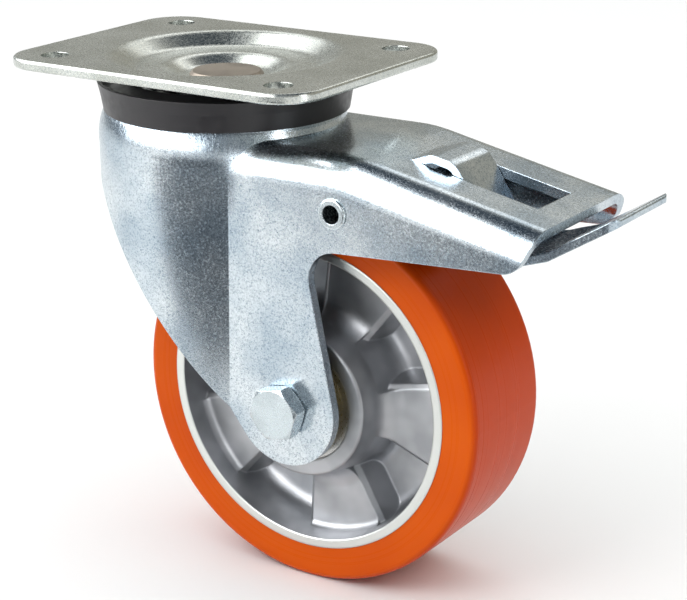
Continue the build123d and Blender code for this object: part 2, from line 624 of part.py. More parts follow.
def wheel_section():
    """Half section of the cast wheel centre before its pockets are cut."""
    face_y = RIM_HALF_W - FACE_IN
    hub_root = HUB_R + HUB_DRAFT
    half = [(TYRE_IN_R, RIM_HALF_W), (RIM_IN_R, RIM_HALF_W), (RIM_IN_R - RIM_DRAFT / 2, face_y)]
    half += [(hub_root, face_y), (HUB_R, HUB_L / 2), (BEARING_D / 2, HUB_L / 2)]
    half += [(BEARING_D / 2, BEARING_FACE - BEARING_W), (HUB_BORE_R, BEARING_FACE - BEARING_W)]
    other = [(x, -y) for x, y in reversed(half)]
    face = make_face(Polyline(*half, *other, close=True))
    at_hub = [v for v in face.vertices() if abs(abs(v.Y) - face_y) < 0.01 and v.X < hub_root + 0.01]
    face = fillet(at_hub, FACE_BLEND_R)
    at_rim = [v for v in face.vertices() if abs(abs(v.Y) - face_y) < 0.01 and v.X > RIM_IN_R - RIM_DRAFT]
    face = fillet(at_rim, POCKET_BLEND_R)
    hub_rim = [v for v in face.vertices() if abs(abs(v.Y) - HUB_L / 2) < 0.01 and v.X > BEARING_D / 2 + 1]
    return fillet(hub_rim, HUB_EDGE_R)


def pocket_ring():
    """The ring-shaped hollow between hub and rim on one side, down to the web."""
    top_y = HUB_L / 2
    web_y = WEB_T / 2
    lean = RIM_DRAFT / (RIM_HALF_W - web_y)
    rim_at = [RIM_IN_R - lean * (RIM_HALF_W - y) for y in (web_y, top_y)]
    hub_lean = HUB_DRAFT / (HUB_L / 2 - RIM_HALF_W + FACE_IN)
    hub_at = [HUB_R + HUB_SKIN + hub_lean * (HUB_L / 2 - y) for y in (web_y, top_y)]
    outline = [(hub_at[0], web_y), (rim_at[0], web_y), (rim_at[1], top_y), (hub_at[1], top_y)]
    face = make_face(Polyline(*outline, close=True))
    face = fillet(face.vertices().group_by(Axis.Y)[0], POCKET_BLEND_R * 2)
    return revolve(Plane.XY * face, Axis.Y)


def make_pocket():
    """One recess between two spokes on the +Y side: the ring hollow between sloping sides."""
    face_y = RIM_HALF_W - FACE_IN
    half = math.radians((360 / SPOKES - SPOKE_ANGLE) / 2)
    reach = TYRE_IN_R * 2
    wedge = Polyline((0, 0), (reach, reach * math.tan(half)), (reach, -reach * math.tan(half)), close=True)
    face = Pos(0, 0, face_y) * make_face(wedge)
    edge = extrude(face, amount=-SPOKE_EDGE, taper=SPOKE_EDGE_SLOPE)
    inner = edge.faces().sort_by(Axis.Z)[0]
    sides = edge + extrude(inner, amount=face_y - SPOKE_EDGE - WEB_T / 2, taper=SPOKE_DRAFT)
    sides += extrude(face, amount=FACE_IN)
    upright = Rot(-90, 0, 0) * sides
    return upright & pocket_ring()


def make_wheel_centre():
    """Cast aluminium wheel centre: hub, web, rim and five broad spokes on each side."""
    body = revolve(Plane.XY * wheel_section(), Axis.Y)
    middle = SPOKE_PHASE + 180 / SPOKES
    near = make_pocket()
    far = mirror(near, Plane.XZ)
    for i in range(SPOKES):
        turn = Rot(0, -(middle + 360 / SPOKES * i), 0)
        body -= turn * near
        body -= turn * far
    return Pos(TRAIL, 0, AXLE_Z) * body


def both_bearings(make_one):
    """A piece of one bearing, and the same piece at the other end of the hub."""
    inner = BEARING_FACE - BEARING_W
    return [make_one(inner), make_one(-BEARING_FACE)]


def bearing_ring(fixed_r, race_r, y):
    """A bearing ring between two radii, with the groove that the balls run in."""
    outline = [(fixed_r, y), (fixed_r, y + BEARING_W), (race_r, y + BEARING_W), (race_r, y)]
    middle = Pos(TRAIL, y + BEARING_W / 2, AXLE_Z) * Rot(90, 0, 0)
    race = turned_about_axle(Polyline(*outline, close=True))
    return race - middle * Torus(BEARING_PITCH_R, BEARING_BALL_D / 2)


def make_outer_ring(y):
    """Outer ring of a ball bearing, from y over the bearing's width."""
    r = BEARING_D / 2
    return bearing_ring(r, r - RING_T, y)


def make_inner_ring(y):
    """Inner ring of a ball bearing, from y over the bearing's width."""
    r = BEARING_BORE / 2
    return bearing_ring(r, r + RING_T, y)


def make_bearing_balls():
    """Balls of both wheel bearings."""
    balls = []
    for y in (BEARING_FACE - BEARING_W / 2, BEARING_W / 2 - BEARING_FACE):
        for ball in ball_ring(BEARING_BALL_D - 2 * BALL_GAP, BEARING_PITCH_R, BEARING_BALLS, 0):
            balls.append(Pos(TRAIL, y, AXLE_Z) * Rot(90, 0, 0) * ball)
    return balls


def make_shields():
    """Four thin shields pressed in the outer rings, clear of the inner rings."""
    outer = BEARING_D / 2 - RING_T
    inner = BEARING_BORE / 2 + RING_T + RUN_GAP
    shields = []
    for y in (BEARING_FACE, BEARING_W - BEARING_FACE):
        for edge in (y - SHIELD_IN - SHIELD_T, y - BEARING_W + SHIELD_IN):
            outline = [(inner, edge), (outer, edge), (outer, edge + SHIELD_T), (inner, edge + SHIELD_T)]
            shields.append(turned_about_axle(Polyline(*outline, close=True)))
    return shields


def make_axle_tube():
    """Axle tube between the legs that carries the bearings."""
    tube = cross_cylinder(BEARING_BORE / 2 - FIT, TRAIL, AXLE_Z, -FORK_IN_W, FORK_IN_W)
    return tube - cross_cylinder(BOLT_D / 2 + TUBE_PLAY, TRAIL, AXLE_Z, -HEIGHT, HEIGHT)


def make_spacers():
    """Flanged spacers between the bearings and the legs."""
    bore = BEARING_BORE / 2
    spacers = []
    for side in (-1, 1):
        flange_y = FORK_IN_W - SPACER_FLANGE_T
        outline = [(bore, BEARING_FACE), (SPACER_BOSS_R, BEARING_FACE), (SPACER_BOSS_R, flange_y)]
        outline += [(SPACER_FLANGE_R, flange_y), (SPACER_FLANGE_R, FORK_IN_W), (bore, FORK_IN_W)]
        spacers.append(turned_about_axle(Polyline(*[(r, side * y) for r, y in outline], close=True)))
    return spacers


def make_axle_bolt():
    """Hexagon bolt that clamps the legs on the axle tube."""
    tail = FORK_HALF_W + WASHER_T + NUT_H + BOLT_TAIL
    shank = cross_cylinder(BOLT_D / 2, TRAIL, AXLE_Z, -FORK_HALF_W, tail)
    end = shank.edges().filter_by(GeomType.CIRCLE).sort_by(Axis.Y)[-1]
    shank = chamfer(end, BOLT_CHAMFER)
    flats = Pos(0, 0, BOLT_SEAT_T) * hex_prism(BOLT_AF, BOLT_HEAD_H - BOLT_SEAT_T)
    seat = disc(BOLT_AF / 2 - BOLT_SEAT_T, 0, BOLT_SEAT_T)
    head = Rot(90, 0, 0) * Rot(0, 0, BOLT_TURN) * (flats + seat)
    return shank + Pos(TRAIL, -FORK_HALF_W, AXLE_Z) * head


def make_axle_nut():
    """Lock nut on the far leg."""
    y = FORK_HALF_W + WASHER_T + NUT_H
    nut = Pos(TRAIL, y, AXLE_Z) * Rot(90, 0, 0) * hex_prism(BOLT_AF, NUT_H)
    return nut - cross_cylinder(BOLT_D / 2 + FIT, TRAIL, AXLE_Z, 0, HEIGHT)


def make_nut_washer():
    """Washer under the axle nut."""
    washer = cross_cylinder(WASHER_R, TRAIL, AXLE_Z, FORK_HALF_W, FORK_HALF_W + WASHER_T)
    return washer - cross_cylinder(BOLT_D / 2 + BOLT_PLAY, TRAIL, AXLE_Z, 0, HEIGHT)


def save(name, shape):
    """Write one node, which may be a group of separate solids."""
    body = Compound(children=shape) if isinstance(shape, list) else shape
    export_step(body, f"parts/{name}.step")


def main():
    """Build and write every node."""
    os.makedirs("parts", exist_ok=True)
    small_ball = BALL_D - 2 * BALL_GAP
    save("top_plate", make_top_plate())
    save("king_pin", make_king_pin())
    save("pin_sleeve", make_pin_sleeve())
    save("upper_balls", ball_ring(small_ball, UPPER_PITCH_R, UPPER_BALLS, UPPER_BALL_Z))
    save("lower_balls", ball_ring(small_ball, LOWER_PITCH_R, LOWER_BALLS, LOWER_BALL_Z))
    save("lower_race", make_lower_race())
    save("lock_ring", make_lock_ring())
    save("king_nut", make_king_nut())
    save("seal_ring", make_seal_ring())
    save("fork", make_fork())
    save("pivot_rivet", make_pivot_rivet())
    save("brake_lever", make_brake_lever())
    save("brake_shoe", make_brake_shoe())
    save("shoe_rivets", make_shoe_rivets())
    save("brake_spring", make_brake_spring())
    save("tyre", make_tyre())
    save("wheel_centre", make_wheel_centre())
    save("bearing_outer_rings", both_bearings(make_outer_ring))
    save("bearing_inner_rings", both_bearings(make_inner_ring))
    save("bearing_balls", make_bearing_balls())
    save("bearing_shields", make_shields())
    save("axle_tube", make_axle_tube())
    save("axle_spacers", make_spacers())
    save("axle_bolt", make_axle_bolt())
    save("nut_washer", make_nut_washer())
    save("axle_nut", make_axle_nut())


main()
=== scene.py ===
"""Looks of a plate-mounted swivel castor with a total-lock brake, built round its solids."""
import logging
import math
from dataclasses import dataclass
from enum import Enum
from typing import Any

import bmesh
import bpy
from mathutils import Matrix, Vector


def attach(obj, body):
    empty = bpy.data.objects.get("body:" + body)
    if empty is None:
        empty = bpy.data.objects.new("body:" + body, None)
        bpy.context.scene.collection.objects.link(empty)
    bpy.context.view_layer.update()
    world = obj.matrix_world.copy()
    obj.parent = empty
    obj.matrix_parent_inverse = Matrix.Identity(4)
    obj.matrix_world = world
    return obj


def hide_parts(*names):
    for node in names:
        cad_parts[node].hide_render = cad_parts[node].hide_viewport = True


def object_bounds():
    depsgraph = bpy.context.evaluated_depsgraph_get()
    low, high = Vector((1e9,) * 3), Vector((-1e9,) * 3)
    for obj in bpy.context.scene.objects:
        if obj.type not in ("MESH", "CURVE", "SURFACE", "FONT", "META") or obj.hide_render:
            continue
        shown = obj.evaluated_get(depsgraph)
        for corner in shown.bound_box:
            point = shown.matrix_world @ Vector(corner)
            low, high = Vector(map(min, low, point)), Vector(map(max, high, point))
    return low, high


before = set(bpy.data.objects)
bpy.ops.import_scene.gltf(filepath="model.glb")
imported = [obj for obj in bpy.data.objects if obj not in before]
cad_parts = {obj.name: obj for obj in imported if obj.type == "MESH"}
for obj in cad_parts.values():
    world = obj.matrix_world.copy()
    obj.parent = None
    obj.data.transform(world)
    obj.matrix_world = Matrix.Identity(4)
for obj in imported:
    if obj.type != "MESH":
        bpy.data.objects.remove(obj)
SOLIDS_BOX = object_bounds()

MM = 0.001
PHOTO_WIDTH_PX = 687
PHOTO_HEIGHT_PX = 600
AXLE_MM = (52.0, -125.0)    # the wheel's axle, in the frame's X and Z
SHARP_EDGE_DEG = 32.0       # edges that bend more than this stay sharp
PATTERN_RANGE = (0.3, 0.7)  # nearly all of a noise pattern lies between these

Point = tuple[float, float, float]
Pair = tuple[float, float]
Tree = bpy.types.NodeTree
Socket = bpy.types.NodeSocket

log = logging.getLogger("castor")


class Body(Enum):
    """Rigid bodies that new pieces move with, by their names in the frame."""

    HEAD = "mounting_head"
    FORK = "fork_body"


class Slot(Enum):
    """Material slots of the record, named for the threaded pieces; the script doesn't give them to
    the pieces.
    """

    TURNED = "zinc_turned"
    BOLT = "bolt_zinc"


def linear(hex_colour: str) -> tuple[float, float, float, float]:
    """Turns an sRGB hex colour into linear light.

    Args:
        hex_colour: Six hex digits after a hash sign.

    Returns:
        Red, green, blue and an alpha of 1.
    """
    channels = [int(hex_colour[i:i + 2], 16) / 255 for i in (1, 3, 5)]
    light = [c / 12.92 if c <= 0.04045 else ((c + 0.055) / 1.055) ** 2.4 for c in channels]
    return light[0], light[1], light[2], 1.0


def add_node(tree: Tree, kind: str, values: dict[Any, Any] | None = None,
             links: dict[Any, Socket] | None = None, **settings: Any) -> bpy.types.Node:
    """Adds one shader node with its settings and links.

    Args:
        tree: Node tree that gets the node.
        kind: Blender's name of the node type.
        values: Input name or number, and the constant it is set to.
        links: Input name or number, and the socket that feeds it.
        settings: Properties of the node itself.

    Returns:
        The new node.
    """
    node = tree.nodes.new(kind)
    for name, value in settings.items():
        setattr(node, name, value)
    for name, value in (values or {}).items():
        node.inputs[name].default_value = value
    for name, socket in (links or {}).items():
        tree.links.new(socket, node.inputs[name])
    return node


def per_mm(size_mm: float) -> float:
    """Texture scale that makes one feature of a pattern this many millimetres wide."""
    return 1.0 / (size_mm * MM)


def about_axle(tree: Tree, place: Socket) -> tuple[Socket, Socket]:
    """Measures a place from the wheel's axle.

    Args:
        tree: Node tree that gets the nodes.
        place: Position in the castor's frame, in metres.

    Returns:
        Distance from the axle, and place along it.
    """
    middle = (AXLE_MM[0] * MM, 0.0, AXLE_MM[1] * MM)
    moved = add_node(tree, "ShaderNodeVectorMath", {1: middle}, {0: place}, operation="SUBTRACT")
    parts = add_node(tree, "ShaderNodeSeparateXYZ", links={0: moved.outputs[0]}).outputs
    flat = add_node(tree, "ShaderNodeCombineXYZ", links={0: parts[0], 2: parts[2]})
    radius = add_node(tree, "ShaderNodeVectorMath", links={0: flat.outputs[0]}, operation="LENGTH")
    return radius.outputs["Value"], parts[1]


@dataclass(frozen=True)
class Finish:
    """A surface: what it is made of and how it was made.

    The subclasses add their pattern in paint(), which returns the sockets to plug in.
    """

    name: str
    colour: str
    roughness: float
    metallic: float = 0.0
    edge_mm: float = 0.5                    # the round that pressing, casting and turning leave
    edge_samples: int = 6
    gloss_change: Pair = (-0.05, 0.08)      # of the roughness, over a pattern's range
    skin_depth_mm: float = 0.012

    def material(self) -> bpy.types.Material:
        """Builds the material once and hands out the same one afterwards.

        Returns:
            The material with its node tree.
        """
        found = bpy.data.materials.get(self.name)
        if found:
            return found
        made = bpy.data.materials.new(self.name)
        made.use_nodes = True
        tree = made.node_tree
        tree.nodes.clear()
        shader = add_node(tree, "ShaderNodeBsdfPrincipled",
                          {"Base Color": linear(self.colour), "Roughness": self.roughness,
                           "Metallic": self.metallic})
        place = add_node(tree, "ShaderNodeTexCoord").outputs["Object"]
        edge = add_node(tree, "ShaderNodeBevel", {"Radius": self.edge_mm * MM},
                        samples=self.edge_samples)
        painted = self.paint(tree, place, edge.outputs["Normal"], shader)
        for name, source in painted.items():
            tree.links.new(source, shader.inputs[name])
        add_node(tree, "ShaderNodeOutputMaterial", links={"Surface": shader.outputs["BSDF"]})
        return made

    def paint(self, tree: Tree, place: Socket, normal: Socket,
              shader: bpy.types.Node) -> dict[str, Socket]:
        """Adds the pattern of this finish.

        Args:
            tree: The material's node tree.
            place: Position in the castor's frame, in metres.
            normal: Surface normal with its edges rounded.
            shader: The principled shader, for constants of its own.

        Returns:
            Shader input names and the sockets that feed them.
        """
        return {"Normal": normal}

    def skin(self, tree: Tree, marks: Socket, height: Socket, normal: Socket) -> dict[str, Socket]:
        """Lets the marks of the making show in the gloss and in the surface.

        Args:
            tree: The material's node tree.
            marks: Pattern that dulls the surface where it is strong.
            height: Pattern that raises the surface.
            normal: Surface normal under it.

        Returns:
            The shader's roughness and normal.
        """
        rough = add_node(tree, "ShaderNodeMapRange",
                         {"From Min": PATTERN_RANGE[0], "From Max": PATTERN_RANGE[1],
                          "To Min": self.roughness + self.gloss_change[0],
                          "To Max": self.roughness + self.gloss_change[1]}, {"Value": marks})
        raised = add_node(tree, "ShaderNodeBump",
                          {"Strength": 1.0, "Distance": self.skin_depth_mm * MM},
                          {"Height": height, "Normal": normal})
        return {"Roughness": rough.outputs["Result"], "Normal": raised.outputs["Normal"]}


@dataclass(frozen=True)
class CloudedFinish(Finish):
    """A surface whose colour turns to a second one in soft patches."""

    dull_colour: str = "#808080"
    cloud_mm: float = 20.0
    cloud_detail: float = 2.0
    cloud_range: Pair = (0.35, 0.65)    # of the pattern, from the dull colour to the clear one
    clear_least: float = 0.0            # share of the clear colour where it is dullest

    def clouded(self, tree: Tree, place: Socket) -> Socket:
        """Clouds the finish's own colour.

        Args:
            tree: The material's node tree.
            place: Position in the castor's frame, in metres.

        Returns:
            The clouded colour.
        """
        cloud = add_node(tree, "ShaderNodeTexNoise",
                         {"Scale": per_mm(self.cloud_mm), "Detail": self.cloud_detail},
                         {"Vector": place})
        clear = add_node(tree, "ShaderNodeMapRange",
                         {"From Min": self.cloud_range[0], "From Max": self.cloud_range[1],
                          "To Min": self.clear_least}, {"Value": cloud.outputs["Fac"]})
        mixed = add_node(tree, "ShaderNodeMix",
                         {6: linear(self.dull_colour), 7: linear(self.colour)},
                         {0: clear.outputs["Result"]}, data_type="RGBA")
        return mixed.outputs[2]


@dataclass(frozen=True)
class ZincPlatedPressing(CloudedFinish):
    """Bright zinc plate on pressed sheet: bluish, finely speckled, with sharp pale bands."""

    metallic: float = 1.0
    gloss_change: Pair = (-0.05, 0.10)
    skin_depth_mm: float = 0.005
    dull_colour: str = "#B3C0CA"
    cloud_mm: float = 26.0              # patches left by rinsing
    grain_mm: float = 0.9               # grit of the plate
    grain_detail: float = 3.0
    crystal_mm: float = 0.42            # its crystals, drawn coarser than real so that they show
    speck_colour: str = "#51687B"
    speck_share: float = 0.62
    speck_range: Pair = (0.95, 1.65)    # of grain and crystals together
    wave_mm: float = 38.0               # the sheet's own waviness after pressing
    wave_detail: float = 1.0
    wave_depth_mm: float = 0.16
    mark_mm: float = 0.9                # width of the die's draw marks
    mark_detail: float = 2.0
    mark_stretch: float = 0.03          # draws them out along the upright
    mark_range: Pair = (0.45, 0.75)
    mark_depth_mm: float = 0.035
    marked_before_mm: float = 34.0      # the skirt's end towards the arm
    marked_fade_mm: float = 6.0
    marked_height_mm: Pair = (-62.0, -36.0)     # where the marks begin and are full
    drawn_corner_mm: Point | None = None        # where the skirt, the leg and the arm meet
    corner_reach_mm: float = 24.0
    corner_round_mm: float = 9.0
    corner_samples: int = 8

    def paint(self, tree: Tree, place: Socket, normal: Socket,
              shader: bpy.types.Node) -> dict[str, Socket]:
        """Adds specks, rinse clouds, draw marks and the waviness that bends the reflections.

        Args:
            tree: The material's node tree.
            place: Position in the castor's frame, in metres.
            normal: Surface normal with its edges rounded.
            shader: The principled shader, left as it is.

        Returns:
            Shader input names and the sockets that feed them.
        """
        grain = add_node(tree, "ShaderNodeTexNoise",
                         {"Scale": per_mm(self.grain_mm), "Detail": self.grain_detail},
                         {"Vector": place}).outputs["Fac"]
        crystal = add_node(tree, "ShaderNodeTexVoronoi", {"Scale": per_mm(self.crystal_mm)},
                           {"Vector": place})
        facet = add_node(tree, "ShaderNodeSeparateColor", links={0: crystal.outputs["Color"]})
        gritty = add_node(tree, "ShaderNodeMath", links={0: grain, 1: facet.outputs[0]},
                          operation="ADD").outputs[0]
        specks = add_node(tree, "ShaderNodeMapRange",
                          {"From Min": self.speck_range[0], "From Max": self.speck_range[1],
                           "To Max": self.speck_share}, {"Value": gritty})
        specked = add_node(tree, "ShaderNodeMix", {7: linear(self.speck_colour)},
                           {0: specks.outputs["Result"], 6: self.clouded(tree, place)},
                           data_type="RGBA")
        if self.drawn_corner_mm:
            normal = self.soften_corner(tree, place, normal)
        wave = add_node(tree, "ShaderNodeTexNoise",
                        {"Scale": per_mm(self.wave_mm), "Detail": self.wave_detail},
                        {"Vector": place})
        waved = add_node(tree, "ShaderNodeBump",
                         {"Strength": 1.0, "Distance": self.wave_depth_mm * MM},
                         {"Height": wave.outputs["Fac"], "Normal": normal})
        marked = add_node(tree, "ShaderNodeBump",
                          {"Strength": 1.0, "Distance": self.mark_depth_mm * MM},
                          {"Height": self.draw_marks(tree, place),
                           "Normal": waved.outputs["Normal"]})
        return {"Base Color": specked.outputs[2],
                **self.skin(tree, grain, gritty, marked.outputs["Normal"])}

    def draw_marks(self, tree: Tree, place: Socket) -> Socket:
        """Scores the skirt where it was drawn through the die.

        Args:
            tree: The material's node tree.
            place: Position in the castor's frame, in metres.

        Returns:
            Strength of the marks, 0 away from the skirt.
        """
        drawn = add_node(tree, "ShaderNodeMapping", {"Scale": (1.0, 1.0, self.mark_stretch)},
                         {"Vector": place})
        lines = add_node(tree, "ShaderNodeTexNoise",
                         {"Scale": per_mm(self.mark_mm), "Detail": self.mark_detail},
                         {"Vector": drawn.outputs["Vector"]})
        marks = add_node(tree, "ShaderNodeMapRange",
                         {"From Min": self.mark_range[0], "From Max": self.mark_range[1]},
                         {"Value": lines.outputs["Fac"]})
        where = add_node(tree, "ShaderNodeSeparateXYZ", links={0: place}).outputs
        high = add_node(tree, "ShaderNodeMapRange",
                        {"From Min": self.marked_height_mm[0] * MM,
                         "From Max": self.marked_height_mm[1] * MM}, {"Value": where[2]})
        before = add_node(tree, "ShaderNodeMapRange",
                          {"From Min": (self.marked_before_mm - self.marked_fade_mm) * MM,
                           "From Max": self.marked_before_mm * MM,
                           "To Min": 1.0, "To Max": 0.0}, {"Value": where[0]})
        skirt = add_node(tree, "ShaderNodeMath", links={0: high.outputs[0], 1: before.outputs[0]},
                         operation="MULTIPLY")
        return add_node(tree, "ShaderNodeMath", links={0: marks.outputs[0], 1: skirt.outputs[0]},
                        operation="MULTIPLY").outputs[0]

    def soften_corner(self, tree: Tree, place: Socket, normal: Socket) -> Socket:
        """Rounds the shading where the sheet was drawn over the die's corner.

        Args:
            tree: The material's node tree.
            place: Position in the castor's frame, in metres.
            normal: Surface normal with its edges rounded.

        Returns:
            The normal, rounder near the corner.
        """
        corner = Vector(self.drawn_corner_mm) * MM
        away = add_node(tree, "ShaderNodeVectorMath", {1: corner}, {0: place},
                        operation="DISTANCE")
        near = add_node(tree, "ShaderNodeMapRange",
                        {"From Min": 0.0, "From Max": self.corner_reach_mm * MM,
                         "To Min": 1.0, "To Max": 0.0}, {"Value": away.outputs["Value"]})
        wide = add_node(tree, "ShaderNodeBevel", {"Radius": self.corner_round_mm * MM},
                        samples=self.corner_samples)
        mixed = add_node(tree, "ShaderNodeMix",
                         links={0: near.outputs["Result"], 4: normal, 5: wide.outputs["Normal"]},
                         data_type="VECTOR")
        return mixed.outputs[1]


@dataclass(frozen=True)
class BrightSteel(CloudedFinish):
    """Turned, forged or ground steel, bare or plated: even and bright, with a faint stain."""

    metallic: float = 1.0
    dull_colour: str = "#8E8C82"
    cloud_mm: float = 12.0
    cloud_detail: float = 1.0
    cloud_range: Pair = (0.35, 0.6)
    clear_least: float = 0.4
    grain_mm: float = 0.8
    grain_detail: float = 2.0

    def paint(self, tree: Tree, place: Socket, normal: Socket,
              shader: bpy.types.Node) -> dict[str, Socket]:
        """Adds a fine grain and the stain.

        Args:
            tree: The material's node tree.
            place: Position in the castor's frame, in metres.
            normal: Surface normal with its edges rounded.
            shader: The principled shader, left as it is.

        Returns:
            Shader input names and the sockets that feed them.
        """
        grain = add_node(tree, "ShaderNodeTexNoise",
                         {"Scale": per_mm(self.grain_mm), "Detail": self.grain_detail},
                         {"Vector": place}).outputs["Fac"]
        return {"Base Color": self.clouded(tree, place), **self.skin(tree, grain, grain, normal)}


@dataclass(frozen=True)
class DieCastAluminium(CloudedFinish):
    """Tumbled die-cast aluminium: matt grey skin, with the rim's edge turned bright."""

    metallic: float = 1.0
    skin_depth_mm: float = 0.03
    dull_colour: str = "#97999C"
    cloud_mm: float = 18.0
    pit_mm: float = 0.9                 # pitted casting skin
    pit_detail: float = 3.0
    turned_colour: str = "#D8DAD6"
    turned_roughness: float = 0.34
    turned_from_mm: float = 57.4        # radius where the turned ring begins
    turned_fade_mm: float = 0.3
    proud_from_mm: float = 25.05        # distance from the wheel's middle, at the rim's face
    proud_fade_mm: float = 0.1

    def paint(self, tree: Tree, place: Socket, normal: Socket,
              shader: bpy.types.Node) -> dict[str, Socket]:
        """Adds the casting skin, and the turned ring by its radius and its distance out.

        Args:
            tree: The material's node tree.
            place: Position in the castor's frame, in metres.
            normal: Surface normal with its edges rounded.
            shader: The principled shader, left as it is.

        Returns:
            Shader input names and the sockets that feed them.
        """
        radius, along = about_axle(tree, place)
        out = add_node(tree, "ShaderNodeMath", links={0: along}, operation="ABSOLUTE")
        outside = add_node(tree, "ShaderNodeMapRange",
                           {"From Min": self.turned_from_mm * MM,
                            "From Max": (self.turned_from_mm + self.turned_fade_mm) * MM},
                           {"Value": radius})
        proud = add_node(tree, "ShaderNodeMapRange",
                         {"From Min": self.proud_from_mm * MM,
                          "From Max": (self.proud_from_mm + self.proud_fade_mm) * MM},
                         {"Value": out.outputs[0]})
        turned = add_node(tree, "ShaderNodeMath",
                          links={0: outside.outputs[0], 1: proud.outputs[0]},
                          operation="MULTIPLY").outputs[0]
        colour = add_node(tree, "ShaderNodeMix", {7: linear(self.turned_colour)},
                          {0: turned, 6: self.clouded(tree, place)}, data_type="RGBA")
        rough = add_node(tree, "ShaderNodeMapRange",
                         {"To Min": self.roughness, "To Max": self.turned_roughness},
                         {"Value": turned})
        pits = add_node(tree, "ShaderNodeTexNoise",
                        {"Scale": per_mm(self.pit_mm), "Detail": self.pit_detail},
                        {"Vector": place})
        pitted = add_node(tree, "ShaderNodeBump",
                          {"Strength": 1.0, "Distance": self.skin_depth_mm * MM},
                          {"Height": pits.outputs["Fac"], "Normal": normal})
        return {"Base Color": colour.outputs[2], "Roughness": rough.outputs["Result"],
                "Normal": pitted.outputs["Normal"]}


@dataclass(frozen=True)
class CastPolyurethane(CloudedFinish):
    """Cast polyurethane: translucent orange with a waxy sheen, turned to size on its side."""

    gloss_change: Pair = (-0.05, 0.07)
    skin_depth_mm: float = 0.015
    dull_colour: str = "#CE4B00"        # the deeper patches in the cast
    cloud_mm: float = 40.0
    cloud_detail: float = 1.0
    cloud_range: Pair = PATTERN_RANGE
    tread_shade_colour: str = "#C03E00"       # painted shade: the tread is painted a deeper orange because it faces the darker room
    tread_shade_mm: Pair = (73.0, 74.8)       # radii where the painted shade begins and is full
    ring_mm: float = 1.1                # tool marks, 0.2 mm apart in truth, widened to show
    ring_detail: float = 2.0
    ior: float = 1.5
    sheen: float = 0.12
    glow: float = 0.05                  # share of the light that passes under the surface
    glow_mm: float = 2.0
    glow_reach: Point = (1.0, 0.35, 0.1)    # of red, green and blue

    def paint(self, tree: Tree, place: Socket, normal: Socket,
              shader: bpy.types.Node) -> dict[str, Socket]:
        """Adds clouds in the cast colour, painted shade on the tread and turning marks round the
        wheel.

        Args:
            tree: The material's node tree.
            place: Position in the castor's frame, in metres.
            normal: Surface normal with its edges rounded.
            shader: The principled shader, which gets the plastic's constants.

        Returns:
            Shader input names and the sockets that feed them.
        """
        constants = {"IOR": self.ior, "Specular IOR Level": self.sheen,
                     "Subsurface Weight": self.glow, "Subsurface Radius": self.glow_reach,
                     "Subsurface Scale": self.glow_mm * MM}
        for name, value in constants.items():
            shader.inputs[name].default_value = value
        radius, along = about_axle(tree, place)
        round_wheel = add_node(tree, "ShaderNodeCombineXYZ", links={0: radius, 1: along})
        rings = add_node(tree, "ShaderNodeTexNoise",
                         {"Scale": per_mm(self.ring_mm), "Detail": self.ring_detail},
                         {"Vector": round_wheel.outputs[0]}).outputs["Fac"]
        # Painted shade: the tread's radii get a deeper orange, standing in for the darker room it
        # faces.
        tread_shade = add_node(tree, "ShaderNodeMapRange",
                         {"From Min": self.tread_shade_mm[0] * MM, "From Max": self.tread_shade_mm[1] * MM},
                         {"Value": radius})
        colour = add_node(tree, "ShaderNodeMix", {7: linear(self.tread_shade_colour)},
                          {0: tread_shade.outputs["Result"], 6: self.clouded(tree, place)},
                          data_type="RGBA")
        return {"Base Color": colour.outputs[2], **self.skin(tree, rings, rings, normal)}


@dataclass(frozen=True)
class MouldedPlastic(Finish):
    """Moulded plastic: even in colour, with the soft sheen of a polished mould."""

    gloss_change: Pair = (-0.04, 0.08)
    skin_depth_mm: float = 0.03
    mould_mm: float = 3.0
    mould_detail: float = 2.0

    def paint(self, tree: Tree, place: Socket, normal: Socket,
              shader: bpy.types.Node) -> dict[str, Socket]:
        """Adds a faint unevenness of the moulded skin.

        Args:
            tree: The material's node tree.
            place: Position in the castor's frame, in metres.
            normal: Surface normal with its edges rounded.
            shader: The principled shader, left as it is.

        Returns:
            Shader input names and the sockets that feed them.
        """
        uneven = add_node(tree, "ShaderNodeTexNoise",
                          {"Scale": per_mm(self.mould_mm), "Detail": self.mould_detail},
                          {"Vector": place}).outputs["Fac"]
        return self.skin(tree, uneven, uneven, normal)


# Deep-drawn sheet: cool blue-grey crystals, and reflections that the pressing bends.
FORK_ZINC = ZincPlatedPressing("bright zinc on pressed steel", "#DBE2E6", 0.20,
                               drawn_corner_mm=(30.4, -39.0, -30.8))
# Thicker flat plate: a warmer and calmer grey, without draw marks.
PLATE_ZINC = ZincPlatedPressing("bright zinc on pressed plate", "#D4D7D2", 0.24,
                                dull_colour="#BFC2BB", wave_depth_mm=0.10, mark_depth_mm=0.0,
                                skin_depth_mm=0.003, speck_share=0.35)
# Forged bolts and nuts: even and bright, with crisp facets.
HARDWARE_ZINC = BrightSteel("bright zinc on forged bolts", "#CBD4D8", 0.24,
                            dull_colour="#B0B9BD")
# The pin's head, dulled by riveting: a matt brownish grey in the plate's cup.
PIN_STEEL = BrightSteel("zinc on the riveted pin", "#A0968A", 0.40, dull_colour="#7A7066")
# Yellow passivated zinc: pale straw beside the blue fork.
SPACER_ZINC = BrightSteel("yellow passivated spacer", "#DCD0AC", 0.36, dull_colour="#BFB288")
# Ground rings and balls: neutral, smooth and brighter than the hub.
BEARING_STEEL = BrightSteel("ground bearing steel", "#D0D0CE", 0.30, dull_colour="#BDBCB8")
# Tempered strip: dark, with a blue cast.
SPRING_STEEL = BrightSteel("tempered spring strip", "#6E7076", 0.35, dull_colour="#4A4B50")
# Tumbled casting: soft edges and broad dull highlights, and one shining ring on the rim.
CAST_ALUMINIUM = DieCastAluminium("die-cast aluminium", "#B8B9BC", 0.42, edge_mm=1.2)
# Cast tyre: strong orange, almost without a highlight.
ORANGE_PU = CastPolyurethane("cast orange polyurethane", "#DC5A00", 0.30, edge_mm=0.8)
